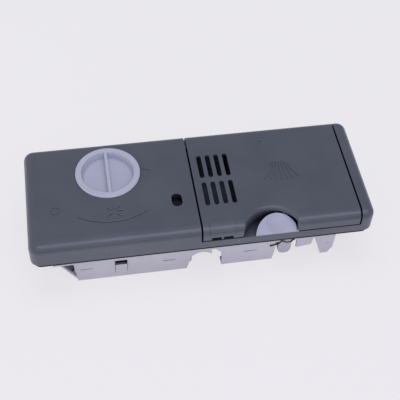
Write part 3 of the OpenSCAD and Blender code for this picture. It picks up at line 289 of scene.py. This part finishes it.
# %% Seals and ceramic
rubber_grain, fired_grain, fired_depth = 900, 1200, 0.00003
soft_black = moulded("soft_black_seal", linear(9, 9, 11), linear(15, 15, 17), 0.7, rubber_grain, deep, 0.25)
soft_grey = moulded("soft_grey_seal", linear(104, 106, 110), linear(118, 120, 124), 0.6, rubber_grain, deep)
dark_ceramic = moulded("dark_ceramic", linear(52, 52, 56), linear(70, 70, 74),
                       0.7, fired_grain, fired_depth)
print("with seals and ceramic:", len(bpy.data.materials) - loaded_finishes)

# %% [markdown]
# ### The scoop, the basin and the button's stem
# The slate is shaded in its hollows. Inside the small prewash basin under the lid's slots the slate
# is painted darker: painted shade, for the dark that shows through the slots, and it stays dark when
# the lid opens. The button is pale blue above the seal line, and its stem below, which the photograph
# shows beside the white frame, is as white as the frame. Each could be a finish of its own, but a
# mask on the same finish keeps the grain running through.

# %% Local colours
hollow_reach, hollow_shade = 0.015, 0.2
for each in (slate, slate_body):
    shade_hollows(each, hollow_reach, hollow_shade)

basin_room = {"X": (2.3, 26.4), "Y": (-26.3, 29.0), "Z": (30.7, 45.8)}
basin_shade_mask = times(slate_body, *[between(slate_body, axis, *ends) for axis, ends in basin_room.items()])
# Painted shade: the slate inside the basin is made darker, for the dark seen through the lid's slots.
recolor(slate_body, basin_shade_mask, linear(50, 52, 60))

seal_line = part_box("door_gasket")[1].z / MM
recolor(button_blue, between(button_blue, "Z", 0, seal_line), linear(182, 180, 184))
print("stem is white below", round(seal_line, 1), "mm")

# %% [markdown]
# ## Metals and the smoked window
# Pins, springs and screws are drawn or ground metal: a fine noise in colour, gloss and relief
# stands for the marks that drawing and grinding leave. It could be stretched along each wire, but
# the pieces are so thin that an even noise looks the same. The level window is a smoked clear
# plastic that shows the dark inside of the tank, so it is dark and glossy and lets little through.

# %% Metals and window
metal_clouds, metal_gloss, drawn_grain = 400, 900, 2400

def metal(name, color, other, rough):
    m = new_finish(name, color, rough)
    s = shader_of(m)
    s.inputs["Metallic"].default_value = 1
    join(m, ramp(m, noise(m, metal_clouds, 3), color, other), s.inputs["Base Color"])
    join(m, span(m, noise(m, metal_gloss, 2), rough - 0.06, rough + 0.08), s.inputs["Roughness"])
    join(m, bump(m, noise(m, drawn_grain, 2), shallow, 0.5), s.inputs["Normal"])
    return m

pin_steel = metal("pin_steel", linear(196, 198, 202), linear(178, 180, 184), rough=0.25)
spring_steel = metal("spring_steel", linear(168, 168, 172), linear(148, 148, 152), rough=0.3)
wire_brown = metal("wire_brown", linear(82, 66, 56), linear(58, 46, 40), rough=0.45)
capsule_brass = metal("capsule_brass", linear(205, 170, 98), linear(184, 148, 80), rough=0.3)
black_steel = metal("black_steel", linear(60, 60, 64), linear(44, 44, 48), rough=0.4)

smoked = new_finish("smoked_window", linear(7, 8, 11), rough=0.1)
window = shader_of(smoked)
window.inputs["Transmission Weight"].default_value = 0.1
window.inputs["Specular IOR Level"].default_value = 0.3
join(smoked, bump(smoked, noise(smoked, 150, 2), deep, 0.3), window.inputs["Normal"])
join(smoked, ramp(smoked, noise(smoked, gloss_scale), linear(5, 6, 9), linear(10, 11, 15)),
     window.inputs["Base Color"])
print("finishes made:", len(bpy.data.materials) - loaded_finishes)

# %% [markdown]
# ## Who gets which finish
# The solids come in with a flat colour each. It is swapped here for what the real piece is made
# of, and the solids themselves stay as they are. Each could be given its finish by hand, but one
# list shows at a glance that none is left out, and its loop fills every slot that a solid has.

# %% Finishes on the pieces
finish_of = {
    "front_housing": slate_body, "lid": slate, "tank_cover": rear_white, "clamp_frame": rear_white,
    "door_gasket": soft_black, "level_lens": smoked, "hinge_pin": pin_steel, "lid_spring": spring_steel,
    "lever_pin": pin_steel, "pivot_clip": black_steel, "gland_seal": soft_black,
    "actuator_case": black_case, "actuator_cover": black_case, "wax_capsule": capsule_brass,
    "heater_disc": dark_ceramic, "actuator_terminals": pin_steel,
    "actuator_screws": spring_steel, "latch_spring": wire_brown,
    "lid_seal": soft_grey, "rinse_cap": cap_blue, "cap_seal": soft_black, "dosage_dial": cap_blue,
    "dial_seal": soft_black, "latch_button": button_blue, "release_lever": acetal, "dosing_rod": acetal,
    "piston_ring": soft_black, "actuator_piston": pin_steel}
for node, finish in finish_of.items():
    for place in piece[node].material_slots:
        place.material = finish
print("finishes set on", len(finish_of), "of", len(piece), "pieces")

# %% [markdown]
# ## The lid's torsion spring
# A coil round the hinge pin throws the lid open. One leg presses on the housing and the other
# lies under the lid, so the real coil winds as the lid turns. A solid on one body can't show that: a
# leg would stay behind in the air. Here the solid is hidden and a wire along the same coil takes its
# place, but the wire keeps one shape and does not wind with the lid either.

# %% Torsion spring
def tube(name, path, radius, sides=12):
    """A round wire of that radius along the points of path, in metres"""
    bm = bmesh.new()
    rings, up = [], Vector((1, 0, 0.01)).normalized()
    for i, point in enumerate(path):
        along = (path[min(i + 1, len(path) - 1)] - path[max(i - 1, 0)]).normalized()
        up = (up - along * up.dot(along)).normalized()
        side = along.cross(up)
        rings.append([bm.verts.new(point + radius * (up * math.cos(a) + side * math.sin(a)))
                      for a in (2 * math.pi * k / sides for k in range(sides))])
    for one, two in zip(rings, rings[1:]):
        for k in range(sides):
            bm.faces.new((one[k], one[(k + 1) % sides], two[(k + 1) % sides], two[k]))
    bm.faces.new(rings[0][::-1])
    bm.faces.new(rings[-1])
    bmesh.ops.recalc_face_normals(bm, faces=bm.faces)
    mesh = bpy.data.meshes.new(name)
    bm.to_mesh(mesh)
    bm.free()
    for face in mesh.polygons:
        face.use_smooth = len(face.vertices) == 4
    o = bpy.data.objects.new(name, mesh)
    bpy.context.scene.collection.objects.link(o)
    return o

print("a wire is a ring of points swept along a path")

# %% [markdown]
# ### Winding the coil
# The pin's box gives the axis, and the spring's own box gives the wire's ends, so the new wire lies
# where the solid one does. The points could be typed in, but then a change of the solids would
# leave the wire behind. The turns are spread evenly between the two legs. The
# housing leg stops a little early, clear of the lid's curl when the lid is open.

# %% Coil and legs
wire_r, coil_turns, turn_points = 0.5 * MM, 5.25, 20
housing_leg_drop, leg_step = 3.8 * MM, 0.6 * MM
pin_low, pin_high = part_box("hinge_pin")
spring_low, spring_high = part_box("lid_spring")
axis_y, axis_z = (pin_low.y + pin_high.y) / 2, (pin_low.z + pin_high.z) / 2
coil_r = spring_high.y - wire_r - axis_y
left_x, right_x = spring_low.x + wire_r, spring_high.x - wire_r
steps = int(coil_turns * turn_points)

def coil_point(t):
    angle = 2 * math.pi * coil_turns * t
    return Vector((left_x + (right_x - left_x) * t,
                   axis_y + coil_r * math.cos(angle), axis_z + coil_r * math.sin(angle)))

coil = [coil_point(i / steps) for i in range(steps + 1)]
housing_leg = [Vector((left_x, axis_y + coil_r, axis_z - housing_leg_drop + leg_step * i))
               for i in range(6)]
lid_leg_end = Vector((right_x, spring_low.y + 0.1 * MM, spring_high.z - wire_r))
leg_shares = (0.15, 0.4, 0.7, 1)
lid_leg = [coil[-1].lerp(lid_leg_end, t) for t in leg_shares]
spring_wire = tube("lid_spring_wire", housing_leg + coil[1:] + lid_leg, wire_r)
spring_wire.data.materials.append(spring_steel)
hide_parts("lid_spring")
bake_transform(spring_wire)
print("coil of", coil_turns, "turns, radius", round(coil_r / MM, 2), "mm")

# %% [markdown]
# ## Broken edges
# No moulding has razor edges. A narrow bevel on each solid's sharp edges catches a thin line of
# light along the seams, the slots and the cap's rim, as the real ones do. It could be cut into the
# solids, but as a modifier it leaves their meshes as they are, and its widths are easy to change.

# %% Edge bevels
bevels = {"front_housing": 0.35, "lid": 0.35, "rinse_cap": 0.3, "latch_button": 0.35,
          "clamp_frame": 0.2, "door_gasket": 0.3}
sharp_from = math.radians(35)
for node, width in bevels.items():
    b = piece[node].modifiers.new("broken_edges", "BEVEL")
    b.width = width * MM
    b.segments = 2
    b.limit_method = "ANGLE"
    b.angle_limit = sharp_from
    b.use_clamp_overlap = True
    b.harden_normals = False
print("edges broken on", len(bevels), "pieces")

# %% [markdown]
# ## Moulded marks
# The real moulding carries faint raised marks: a fan of jets on the lid, and a star over a long
# arc beside the rinse-aid cap. Each stroke is a low rib about half a millimetre wide, cut into
# the mould. A bump in the shader could draw them too, but a real rib keeps its edge in a close
# view. A rib here is a swept strip with a flat crown and sloping sides, and its foot sits a little
# inside the plastic so that no gap shows.

# %% Raised ribs
top_face = Matrix.Translation((0, 0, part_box("lid")[1].z))

def front_face(y):
    """Marks drawn in X and Z on an upright face that looks towards the latch side"""
    return Matrix.Translation((0, y, 0)) @ Matrix.Rotation(math.radians(90), 4, "X")

crown_share = 0.28

def rib_mesh(name, strokes, width, rise, face=top_face, sink=0.05):
    """Ribs along strokes of (x, y) points, all in millimetres, on a face of the dispenser"""
    section = [(-0.5, -sink), (-crown_share, rise), (crown_share, rise), (0.5, -sink)]
    bm = bmesh.new()
    for stroke in strokes:
        points = [Vector((x, y, 0)) for x, y in stroke]
        rings = []
        for i, point in enumerate(points):
            along = (points[min(i + 1, len(points) - 1)] - points[max(i - 1, 0)]).normalized()
            across = Vector((-along.y, along.x, 0))
            rings.append([bm.verts.new(face @ ((point + across * width * u + Vector((0, 0, h))) * MM))
                          for u, h in section])
        for one, two in zip(rings, rings[1:]):
            for k in range(len(section)):
                j = (k + 1) % len(section)
                bm.faces.new((one[k], one[j], two[j], two[k]))
        bm.faces.new(rings[0][::-1])
        bm.faces.new(rings[-1])
    bmesh.ops.recalc_face_normals(bm, faces=bm.faces)
    mesh = bpy.data.meshes.new(name)
    bm.to_mesh(mesh)
    bm.free()
    return bpy.data.objects.new(name, mesh)

print("a rib's crown is", 2 * crown_share, "of its width")

# %% [markdown]
# ### Placing a mark
# A mark belongs to the piece it is moulded on, so it rides on that piece's body and gets the finish
# given with it. It could be joined to the piece's mesh, but the solids stay as they are. A stroke that
# bows is worked out from its two ends and the height of its bow, which is less to type than its points.

# %% Mark helpers
def place_mark(mark, body, finish):
    bpy.context.scene.collection.objects.link(mark)
    mark.data.materials.append(finish)
    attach(mark, body)

def bowed(start, end, bow, steps=8):
    (x0, y0), (x1, y1) = start, end
    return [(x0 + (x1 - x0) * t + bow * math.sin(math.pi * t), y0 + (y1 - y0) * t)
            for t in (i / steps for i in range(steps + 1))]

print("a straight stroke of 4 mm:", bowed((0, 0), (0, 4), 0, steps=2))

# %% [markdown]
# ### The fan of jets on the lid
# Seven jets spread from one place and bow slightly outwards, like water from a spray arm. They
# could be traced one by one, but evenly spread ends and an even bow give the same fan from a few
# numbers, and both halves come out alike.

# %% Fan of jets
jet_top, jet_foot = (62.0, 10.6), (61.3, -7.4)
top_spread, top_fall = 5.2, 0.9
foot_spread, foot_lift = 12.6, 2.2
outward_bow = 0.7
side_jets = 3
jets = []
for i in range(-side_jets, side_jets + 1):
    side = i / side_jets
    start = (jet_top[0] + top_spread * side, jet_top[1] - top_fall * abs(side))
    end = (jet_foot[0] + foot_spread * side, jet_foot[1] + foot_lift * side ** 2)
    jets.append(bowed(start, end, -outward_bow * side))
# The jets take the paler slate: painted highlight along their crowns.
place_mark(rib_mesh("lid_spray_mark", jets, width=0.5, rise=0.12),
           "lid_body", slate_painted_highlight)
print("jets:", len(jets))

# %% [markdown]
# ### The star and the arc by the cap
# A small star of rays stands by the cap, and a long thin arc passes it. The arc runs round the
# cap's own middle, so it is worked out from the cap's box: typed points would only come near it.

# %% Star and arc
cap_low, cap_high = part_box("rinse_cap")
cap_mid = (cap_low + cap_high) / 2 / MM
arc_r, arc_from, arc_sweep, arc_steps = 44.2, -122, 65, 24
arc = [(cap_mid.x + arc_r * math.cos(a), cap_mid.y + arc_r * math.sin(a))
       for a in (math.radians(arc_from + arc_sweep * i / arc_steps) for i in range(arc_steps + 1))]
star_mid, ray_reach = (-60.6, -20.0), (1.9, 4.0, 6.2)
ray_angles = (142, 92, 46, 4, -48, -142)
rays = []
for angle in ray_angles:
    c, d = math.cos(math.radians(angle)), math.sin(math.radians(angle))
    rays.append([(star_mid[0] + c * r, star_mid[1] + d * r) for r in ray_reach])
place_mark(rib_mesh("rinse_star_mark", [arc] + rays, width=0.75, rise=0.06),
           "housing_body", slate_mark)
print("arc of", arc_r, "mm round the cap, rays:", len(rays))

# %% [markdown]
# ### Small marks
# A short dash stands by the cap, a faint ring near the plain end and a dot on the lid. They are
# what the mould's inserts, gates and ejector pins leave. A round or straight rib draws each of
# them, because a mark in the colour alone would vanish when the light comes from the side.

# %% Small marks
def circle(mid, r, steps=24):
    angles = [2 * math.pi * i / steps for i in range(steps + 1)]
    return [(mid[0] + r * math.cos(a), mid[1] + r * math.sin(a)) for a in angles]

def short_bar(x, y, half):
    return [(x - half, y), (x, y), (x + half, y)]

cap_dash = [(-37.8, 16.4), (-34.6, 15.3), (-31.4, 14.1)]
end_ring = circle((-101.1, -14.5), 3)
place_mark(rib_mesh("fascia_dash", [cap_dash], width=0.55, rise=0.04),
           "housing_body", slate_mark)
place_mark(rib_mesh("fascia_ring", [end_ring], width=0.35, rise=0.02, sink=0.03),
           "housing_body", slate_mark)
# The dot takes the paler slate too: painted highlight.
place_mark(rib_mesh("lid_dot", [short_bar(52.5, 32.2, half=0.9)], width=1.5, rise=0.05),
           "lid_body", slate_painted_highlight)
print("on the top face: dash, ring and dot")

# %% [markdown]
# ### Marks on the upright faces
# The same ribs, turned upright: two gate spots on the fascia's front wall and a pin mark on the
# frame's leg, which stands a little behind the frame's foremost face. The pin mark is grey on the
# white frame: painted shade round its ring. Their points could be given in space, but it is easier
# to draw them flat, in X and Z, and to let a matrix stand them up.

# %% Marks on the front
leg_setback = 1.1 * MM
housing_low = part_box("front_housing")[0]
gate_spots = [short_bar(-69.0, 38.2, half=0.6), short_bar(23.3, 32.8, half=0.6)]
# The gate spots are a paler slate than the wall around them.
place_mark(rib_mesh("fascia_gate_spots", gate_spots, width=1.2, rise=0.08,
                    face=front_face(housing_low.y)),
           "housing_body", slate_gate_spot_pale)
frame_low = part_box("clamp_frame")[0]
leg_pin = [circle((91.0, 12.0), 1.0, steps=16)]
# Painted shade: the pin mark is drawn grey, though the frame's plastic is white.
place_mark(rib_mesh("leg_pin_mark", leg_pin, width=0.7, rise=0.12,
                    face=front_face(frame_low.y + leg_setback)),
           "housing_body", pin_mark_painted_shade)
print("on the front:", len(gate_spots), "gate spots and a pin mark")

# %% [markdown]
# ## The studio
# The photograph shows one broad, slightly blue light high in front: its mirror image is the blue
# sheen along the front rounding. Below that sheen comes a dark line, where the rounding mirrors
# the dim far side of the room, and then the wall, which mirrors the bright table.
#
# The table comes first. It is a plain sheet under the dispenser. It could end just outside the
# picture, but then its edge would show in a low view, so it is sixty metres wide.

# %% Table
table_half_size = 30

def sheet_of_table():
    mesh = bpy.data.meshes.new("table")
    bm = bmesh.new()
    bmesh.ops.create_grid(bm, x_segments=1, y_segments=1, size=table_half_size)
    bm.to_mesh(mesh)
    bm.free()
    o = bpy.data.objects.new("table", mesh)
    bpy.context.scene.collection.objects.link(o)
    return o

table = sheet_of_table()
print("table of", 2 * table_half_size, "m")

# %% [markdown]
# ### The table's finish
# A real table is lit unevenly, and a catalogue picture hides that. So for the camera the table is
# mostly a flat pale grey of its own, with a little of the real shadow left in it. For mirrored rays
# it is bright near the dispenser and dim far in front, as the photograph's reflections say. For
# every other ray it is an ordinary pale surface that throws light up at the walls.

# %% Table finish
pale = new_finish("pale_table", linear(232, 230, 236), rough=0.6)
surface = shader_of(pale)
surface.inputs["Specular IOR Level"].default_value = 0.1
join(pale, ramp(pale, noise(pale, 3, 2), linear(231, 229, 235), linear(233, 231, 237)),
     surface.inputs["Base Color"])

seen = add(pale, "LightPath")
mirror_ray = seen.outputs["Is Glossy Ray"]
dim_from, table_end = -150, table_half_size / MM
recolor(pale, times(pale, mirror_ray, between(pale, "Y", -table_end, dim_from)), linear(40, 40, 44))
recolor(pale, times(pale, mirror_ray, between(pale, "Y", dim_from, table_end)), linear(255, 253, 250))

even_share = 0.8
even = add(pale, "Emission")
even.inputs["Color"].default_value = (*linear(241, 239, 241), 1)
share = add(pale, "Math", operation="MULTIPLY")
share.inputs[1].default_value = even_share
join(pale, seen.outputs["Is Camera Ray"], share.inputs[0])
both = add(pale, "MixShader")
join(pale, share.outputs["Value"], both.inputs["Fac"])
join(pale, surface.outputs["BSDF"], both.inputs[1])
join(pale, even.outputs["Emission"], both.inputs[2])
join(pale, both.outputs["Shader"], pale.node_tree.nodes["Material Output"].inputs["Surface"])
table.data.materials.append(pale)
print("the camera sees", even_share, "flat grey and", round(1 - even_share, 1), "real table")

# %% [markdown]
# ### The lights
# Only the main light is seen in reflections. Three more without a mirror image fill the shadows:
# they stand for the room's walls and ceiling. A picture of a real room could light the scene too,
# but area lights leave each highlight to be placed one by one. A soft world light lifts what is left.

# %% Lights and world
def soft_light(name, place, target, size, power, color=(1, 1, 1), mirrored=True):
    data = bpy.data.lights.new(name, "AREA")
    data.color = color
    data.shape, data.size, data.size_y, data.energy = "RECTANGLE", size[0], size[1], power
    o = bpy.data.objects.new(name, data)
    o.location = place
    o.rotation_mode = "QUATERNION"
    o.rotation_quaternion = (Vector(place) - Vector(target)).to_track_quat("Z", "Y")
    o.visible_glossy = mirrored
    bpy.context.scene.collection.objects.link(o)

aim, left_aim = (0, 0, 0.03), (-0.1, 0, 0.02)
bluish, sky, warm = (0.74, 0.70, 1), (0.95, 0.98, 1), (1, 0.99, 0.93)
soft_light("main_box", (0.15, -0.80, 1.02), aim, size=(1.1, 0.6), power=4.8, color=bluish)
soft_light("overhead", (0.0, 0.25, 1.3), aim, size=(0.9, 0.6), power=5.0, color=sky, mirrored=False)
soft_light("front_fill", (-0.3, -1.2, 0.15), aim, size=(1.4, 0.3), power=4.2, color=warm, mirrored=False)
soft_light("left_fill", (-1.2, 0.0, 0.3), left_aim, size=(0.6, 0.5), power=2.5, mirrored=False)

world = bpy.data.worlds.new("studio")
bpy.context.scene.world = world
world.use_nodes = True
room = world.node_tree.nodes["Background"]
room.inputs["Color"].default_value = (*linear(226, 229, 250), 1)
room.inputs["Strength"].default_value = 0.45
bpy.context.scene.view_settings.view_transform = "Standard"
print("lights:", len(bpy.data.lights))
